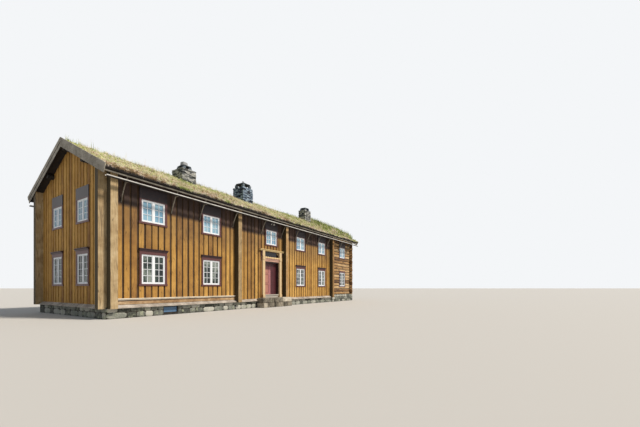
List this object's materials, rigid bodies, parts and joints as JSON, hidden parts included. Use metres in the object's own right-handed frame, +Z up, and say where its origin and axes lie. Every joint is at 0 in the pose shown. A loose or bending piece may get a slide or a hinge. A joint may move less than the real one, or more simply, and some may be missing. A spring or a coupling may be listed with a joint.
{
  "type": "turf-roofed log farmhouse",
  "caption": "Long two-storey log farmhouse with board cladding, a bare log bay, stone chimneys, a double door and a turf roof.",
  "frame": {"origin": "middle of the plan on the ground", "axes": "+X along the house towards the bare log bay, -Y to the front with the door, +Z up"},
  "size_m": [22.1, 8.0454, 8.6727],
  "materials": {
    "rubble": "rough rubble stone",
    "slate": "dry-laid slate",
    "hatch_paint": "weathered blue paint",
    "bare_log": "weathered bare timber",
    "boards": "ochre oil paint on boards",
    "floor_wood": "scrubbed floor boards",
    "grey_wood": "silvered timber",
    "casing_paint": "dark maroon oil paint",
    "white_paint": "white oil paint",
    "glass": "old drawn glass",
    "door_paint": "red oil paint",
    "frame_paint": "ochre oil paint",
    "turf": "growing grass turf",
    "lamp_enamel": "white enamel"
  },
  "bodies": {
    "house": {"front_foundation": "rubble", "back_foundation": "rubble", "left_foundation": "rubble", "right_foundation": "rubble", "cellar_hatch": "hatch_paint", "door_steps": "rubble", "ground_floor": "floor_wood", "upper_floor": "floor_wood", "front_wall_left": "bare_log", "front_wall_over_door": "bare_log", "front_wall_right": "bare_log", "back_wall": "bare_log", "left_gable_wall": "bare_log", "log_bay_front": "bare_log", "log_bay_back": "bare_log", "right_gable_wall": "bare_log", "board_cladding": "boards", "sill_boards": "boards", "corner_cases": "boards", "window_casings": "casing_paint", "window_cornices": "casing_paint", "window_frames": "white_paint", "window_panes": "glass", "door_frame": "frame_paint", "door_frieze": "door_paint", "door_pilasters": "frame_paint", "door_canopy": "frame_paint", "purlins": "bare_log", "roof_boards_front": "grey_wood", "roof_boards_back": "grey_wood", "turf_front": "turf", "turf_back": "turf", "turf_logs": "grey_wood", "verge_boards": "grey_wood", "gutters": "grey_wood", "gutter_brackets": "grey_wood", "left_chimney": "slate", "middle_chimney": "slate", "right_chimney": "slate", "chimney_corner_stones": "slate", "chimney_caps": "slate", "chimney_top_stones": "slate", "eave_lamp": "lamp_enamel"},
    "left_leaf": {"left_door_leaf": "door_paint"},
    "right_leaf": {"right_door_leaf": "door_paint"}
  },
  "joints": [
    {"name": "left_leaf_hinge", "type": "hinge", "parent": "house", "child": "left_leaf", "pos_m": [-1.865, -3.145, 1.8], "axis": [0, 0, 1], "range_deg": [0, 90]},
    {"name": "right_leaf_hinge", "type": "hinge", "parent": "house", "child": "right_leaf", "pos_m": [-0.495, -3.145, 1.8], "axis": [0, 0, -1], "range_deg": [0, 90]}
  ]
}
